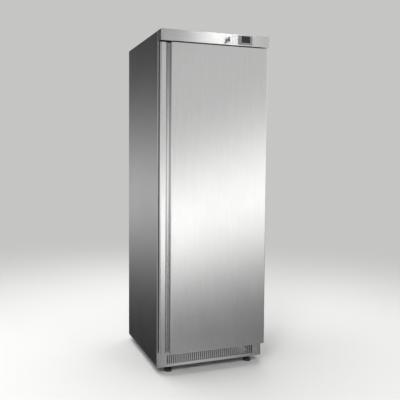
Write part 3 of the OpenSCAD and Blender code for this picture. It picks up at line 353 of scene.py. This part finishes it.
# Turn of the drawn-out reflections where the grain lies along x, in whole turns
LEVEL_GRAIN_TURN = 0.25


def steel(name, grain, rough, stretch=0.5, colour=STEEL_COLOUR):
    """Brushed stainless steel, its grain along the x, y or z axis."""
    material, t = new_material(name)
    place = t.place()

    def strokes(across, along):
        """Noise drawn out along the grain."""
        scale, turn = [across] * 3, [0.0] * 3
        scale["xyz".index(grain)] = along
        turn["xyz".index(grain)] = STROKE_TURN
        drawn = t.add("ShaderNodeMapping", {"Vector": place, "Scale": scale, "Rotation": turn})
        return t.noise(drawn.outputs[0], **STROKE_NOISE).outputs["Fac"]

    lines = strokes(*FINE_STROKES)
    bands = strokes(*BROAD_STROKES)
    patches = t.noise(place, **PATCH_NOISE).outputs["Fac"]
    roughness = t.math("ADD", t.spread(lines, rough - STROKE_SWING, rough + STROKE_SWING),
                       t.span(patches, *PATCH_RANGE, *PATCH_SWING))
    shade = t.math("MULTIPLY", t.spread(lines, *FINE_TONES), t.spread(bands, *BROAD_TONES))
    bump = t.add("ShaderNodeBump", {**STROKE_RELIEF, "Height": lines})
    tangent = t.add("ShaderNodeTangent", direction_type="RADIAL", axis="Z")
    t.finish(t.add("ShaderNodeBsdfPrincipled", {
        "Base Color": t.scaled(colour, shade), "Metallic": 1.0, "Roughness": roughness,
        "Anisotropic": stretch,
        "Anisotropic Rotation": LEVEL_GRAIN_TURN if grain == "x" else 0.0,
        "Normal": bump.outputs[0], "Tangent": tangent.outputs[0]}))
    return material


GRAIN_DETAIL = 3.0
DRIFT_NOISE = {"scale": 14.0, "detail": 4.0}
# How far the grain and the drift move the roughness either way
GRAIN_SWING, DRIFT_SWING = 0.04, 0.03
RELIEF_DEPTH = 0.0004


def surface(name, colour, rough, metal, grain_scale, grain, relief, drift=0.04):
    """Moulded, cast or coated surface: fine grain in its relief and slow drifts of tone."""
    material, t = new_material(name)
    place = t.place()
    grains = t.noise(place, grain_scale, GRAIN_DETAIL).outputs["Fac"]
    slow = t.noise(place, **DRIFT_NOISE).outputs["Fac"]
    shade = t.math("MULTIPLY", t.spread(grains, 1 - grain, 1 + grain),
                   t.spread(slow, 1 - drift, 1 + drift))
    roughness = t.math("ADD", t.spread(grains, rough - GRAIN_SWING, rough + GRAIN_SWING),
                       t.spread(slow, -DRIFT_SWING, DRIFT_SWING))
    bump = t.add("ShaderNodeBump", {"Strength": relief, "Distance": RELIEF_DEPTH,
                                    "Height": grains})
    t.finish(t.add("ShaderNodeBsdfPrincipled", {
        "Base Color": t.scaled(colour, shade), "Metallic": metal, "Roughness": roughness,
        "Normal": bump.outputs[0]}))
    return material


ZINC_COLOUR = (0.60, 0.61, 0.62)
# Crystals of the zinc, a metre, and what their tones multiply the colour by
ZINC_CRYSTALS = 70.0
CRYSTAL_TONES, CRYSTAL_ROUGHNESS = (0.86, 1.1), (0.33, 0.46)
# Noise that bends the crystals' edges, and how far it moves them
BEND_NOISE = {"scale": 160.0, "detail": 3.0}
BEND_REACH = 0.006
# Feathers within a crystal
FEATHER_NOISE = {"scale": 500.0, "detail": 4.0}
FEATHER_TONES = (0.95, 1.05)
FEATHER_RELIEF = {"Strength": 0.08, "Distance": 0.0002}


def galvanised(name):
    """Zinc-coated sheet with its crystals, each at its own tone and roughness."""
    material, t = new_material(name)
    place = t.place()
    wobble = t.noise(place, **BEND_NOISE).outputs["Color"]
    bent = t.add("ShaderNodeVectorMath", {0: wobble, 1: (BEND_REACH,) * 3, 2: place},
                 operation="MULTIPLY_ADD").outputs[0]
    cells = t.add("ShaderNodeTexVoronoi", {"Vector": bent, "Scale": ZINC_CRYSTALS})
    tone = t.add("ShaderNodeSeparateXYZ", {0: cells.outputs["Color"]})
    feather = t.noise(bent, **FEATHER_NOISE).outputs["Fac"]
    shade = t.math("MULTIPLY", t.span(tone.outputs[0], 0.0, 1.0, *CRYSTAL_TONES),
                   t.spread(feather, *FEATHER_TONES))
    roughness = t.span(tone.outputs[1], 0.0, 1.0, *CRYSTAL_ROUGHNESS)
    bump = t.add("ShaderNodeBump", {**FEATHER_RELIEF, "Height": feather})
    t.finish(t.add("ShaderNodeBsdfPrincipled", {
        "Base Color": t.scaled(ZINC_COLOUR, shade), "Metallic": 1.0, "Roughness": roughness,
        "Normal": bump.outputs[0]}))
    return material


# A surface's numbers: roughness, metal, grains a metre, their tone, their relief, and the drift
MATERIALS = {
    "door_steel": steel("door_steel", "z", rough=0.2, stretch=0.6),
    "fascia_steel": steel("fascia_steel", "x", rough=0.24, stretch=0.92),
    "kick_steel": steel("kick_steel", "x", rough=0.15, stretch=0.3),
    "side_steel": steel("side_steel", "z", rough=0.3, colour=(0.5, 0.5, 0.5)),
    "top_steel": steel("top_steel", "y", rough=0.3, stretch=0.3),
    "galvanised": galvanised("galvanised_sheet"),
    "zinc": surface("zinc_plate", (0.62, 0.62, 0.61), 0.3, 1.0, 300.0, 0.03, 0.05),
    "chrome": surface("chrome_plate", (0.80, 0.80, 0.80), 0.13, 1.0, 200.0, 0.02, 0.02),
    "liner": surface("liner_plastic", (0.86, 0.87, 0.87), 0.38, 0.0, 700.0, 0.01, 0.06, 0.015),
    "foam": surface("foam_cells", (0.80, 0.70, 0.43), 0.9, 0.0, 900.0, 0.12, 0.5),
    "grey_plastic": surface("grey_plastic", (0.36, 0.37, 0.38), 0.45, 0.0, 900.0, 0.03, 0.12),
    "bezel": surface("bezel_plastic", (0.25, 0.25, 0.26), 0.34, 0.0, 900.0, 0.02, 0.08),
    "black_plastic": surface("black_plastic", (0.03, 0.03, 0.032), 0.45, 0.0, 900.0, 0.06, 0.12),
    "display": surface("display_glass", (0.012, 0.013, 0.015), 0.12, 0.0, 60.0, 0.1, 0.0),
    "button": surface("button_rubber", (0.30, 0.30, 0.31), 0.6, 0.0, 900.0, 0.03, 0.1),
    "seal": surface("seal_pvc", (0.05, 0.05, 0.053), 0.55, 0.0, 500.0, 0.03, 0.08),
    "rubber": surface("rubber", (0.025, 0.025, 0.025), 0.75, 0.0, 600.0, 0.08, 0.15),
    "fins": surface("fin_aluminium", (0.75, 0.76, 0.77), 0.35, 1.0, 250.0, 0.03, 0.06),
    # On the front frame round the door opening, this black is painted shade: it stands in for
    # the dark gap between door and cabinet.
    "black_enamel": surface("black_enamel", (0.02, 0.02, 0.021), 0.28, 0.0, 350.0, 0.05, 0.12),
    "copper": surface("copper", (0.83, 0.47, 0.32), 0.3, 1.0, 200.0, 0.05, 0.05, 0.1),
    "lens": surface("lamp_diffuser", (0.9, 0.9, 0.88), 0.3, 0.0, 500.0, 0.01, 0.05),
    "wire": surface("wire_coating", (0.72, 0.73, 0.74), 0.3, 0.0, 600.0, 0.02, 0.05),
}
# Nodes whose material isn't simply that of their slot
OWN = {
    "door_outer_panel": "door_steel", "fascia": "fascia_steel", "kick_grille": "kick_steel",
    "left_side_panel": "side_steel", "right_side_panel": "side_steel", "top_panel": "top_steel",
    "controller_bezel": "bezel",
}


def dress_nodes():
    for name, piece in NODES.items():
        slot = piece.material_slots[0].material.name.split(".")[0]
        piece.data.materials[0] = MATERIALS[OWN.get(name, slot)]


HEAD_STEPS = 32
# Rings of a pan head as (radius, height) parts of its radius, from the middle of the top down
HEAD_RINGS = ((0.14, 0.52), (0.34, 0.51), (0.52, 0.48), (0.6, 0.46), (0.82, 0.33), (0.97, 0.12),
              (1.0, 0.0))
# Cross recess: the rings that it sinks, how deep, and in how many steps of each quarter
RECESS_RINGS = 3
RECESS_DEPTH = 0.3
RECESS_STEPS = 3
# Turn of each head from the one before, in radians
HEAD_TWIST = 0.7

# Radii of the heads, and how far the screws sit in from the edges of what they hold
REAR_HEAD, REAR_SIDE_INSET, REAR_EDGE_INSET = 0.0042, 0.024, 0.009
EVAPORATOR_HEAD, EVAPORATOR_INSET = 0.0036, 0.012
ELECTRICAL_HEAD, ELECTRICAL_INSET = 0.0034, 0.009


def screw_heads(name, body, slot, radius, facing, places):
    """Pan heads with a cross recess, seated on the places and looking along facing."""
    turn = Vector(facing).to_track_quat("Z", "Y").to_matrix()
    middle = Vector((0, 0, (HEAD_RINGS[0][1] - RECESS_DEPTH) * radius))
    points, faces = [], []
    for number, place in enumerate(places):
        first = len(points)
        twist = HEAD_TWIST * number
        points.append(Vector(place) + turn @ middle)
        for ring, (out, up) in enumerate(HEAD_RINGS):
            for i in range(HEAD_STEPS):
                a = 2 * math.pi * i / HEAD_STEPS
                sunk = ring < RECESS_RINGS and (i + 1) % (HEAD_STEPS // 4) < RECESS_STEPS
                height = up - (RECESS_DEPTH if sunk else 0.0)
                point = Vector((out * math.cos(a + twist), out * math.sin(a + twist), height))
                points.append(Vector(place) + turn @ (point * radius))
        for i in range(HEAD_STEPS):
            k = (i + 1) % HEAD_STEPS
            faces.append((first, first + 1 + i, first + 1 + k))
            for ring in range(len(HEAD_RINGS) - 1):
                low = first + 1 + ring * HEAD_STEPS
                high = low + HEAD_STEPS
                faces.append((low + i, high + i, high + k, low + k))
    piece = mesh_object(name, points, faces, MATERIALS[slot])
    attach(piece, body)


def corners_of(node, inset, across, up, depth):
    """Places near the corners of a node's box, in the plane of its low side along depth."""
    low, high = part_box(node)
    places = []
    for a in (low[across] + inset, high[across] - inset):
        for b in (low[up] + inset, high[up] - inset):
            place = [0.0, 0.0, 0.0]
            place[across], place[up], place[depth] = a, b, low[depth]
            places.append(tuple(place))
    return places


def make_screws():
    x, y, z = range(3)
    low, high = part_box("rear_cover")
    left, right = low.x + REAR_SIDE_INSET, high.x - REAR_SIDE_INSET
    heights = (low.z + REAR_EDGE_INSET, high.z - REAR_EDGE_INSET)
    rear = [(across, high.y, up) for across in (left, 0.0, right) for up in heights]
    rear += [(across, high.y, (low.z + high.z) / 2) for across in (left, right)]
    screw_heads("rear_cover_screws", "cabinet", "zinc", REAR_HEAD, (0, 1, 0), rear)
    screw_heads("evaporator_cover_screws", "cabinet", "zinc", EVAPORATOR_HEAD, (0, -1, 0),
                corners_of("evaporator_cover", EVAPORATOR_INSET, x, z, y))
    screw_heads("electrical_box_screws", "cabinet", "zinc", ELECTRICAL_HEAD, (-1, 0, 0),
                corners_of("electrical_box", ELECTRICAL_INSET, y, z, x))


make_camera()
make_world()
make_floor()
make_lights()
dress_nodes()
make_screws()
